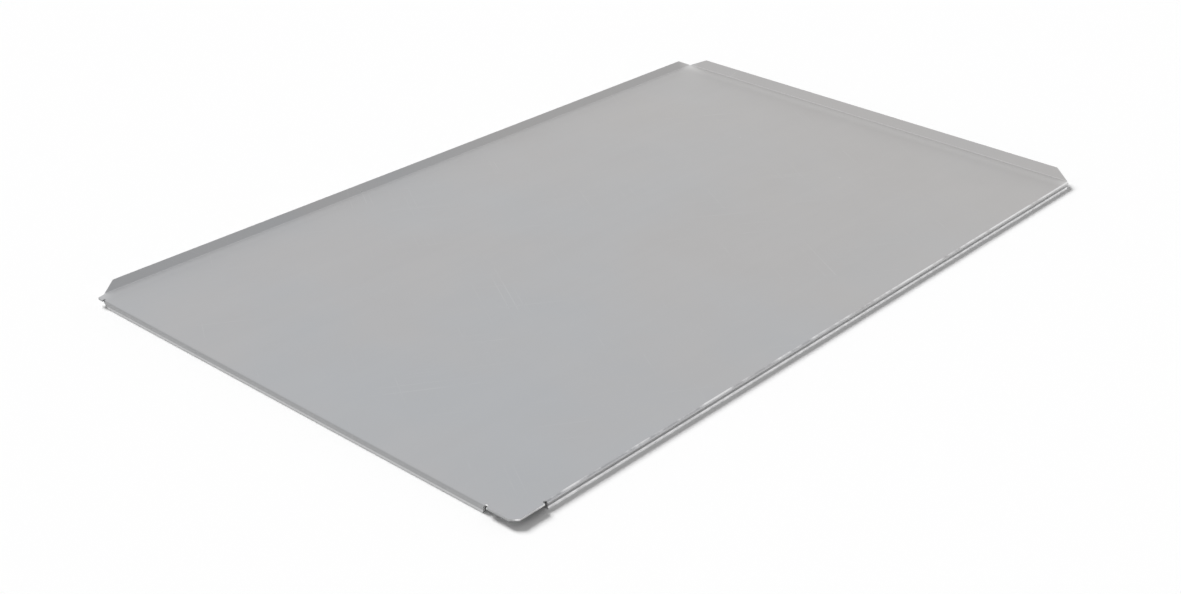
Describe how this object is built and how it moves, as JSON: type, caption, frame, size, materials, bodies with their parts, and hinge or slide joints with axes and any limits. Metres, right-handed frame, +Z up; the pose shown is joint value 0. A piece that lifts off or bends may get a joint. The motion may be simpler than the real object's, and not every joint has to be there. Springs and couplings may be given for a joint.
{
  "type": "cookie sheet",
  "caption": "Thin flat aluminium baking sheet with low lips along its edges, two turned up and two turned down, and open clipped corners, for baking cookies in an oven.",
  "frame": {"origin": "middle of the bounding box, on the surface that the turned-down lips stand on", "axes": "+X along the long side, towards the short lip that is turned up; +Y towards the long lip that is turned up; +Z up, out of the baking surface"},
  "size_m": [0.508, 0.305, 0.0088],
  "materials": {
    "sheet": "satin"
  },
  "bodies": {
    "root": {"baking_sheet": "sheet"}
  },
  "joints": []
}
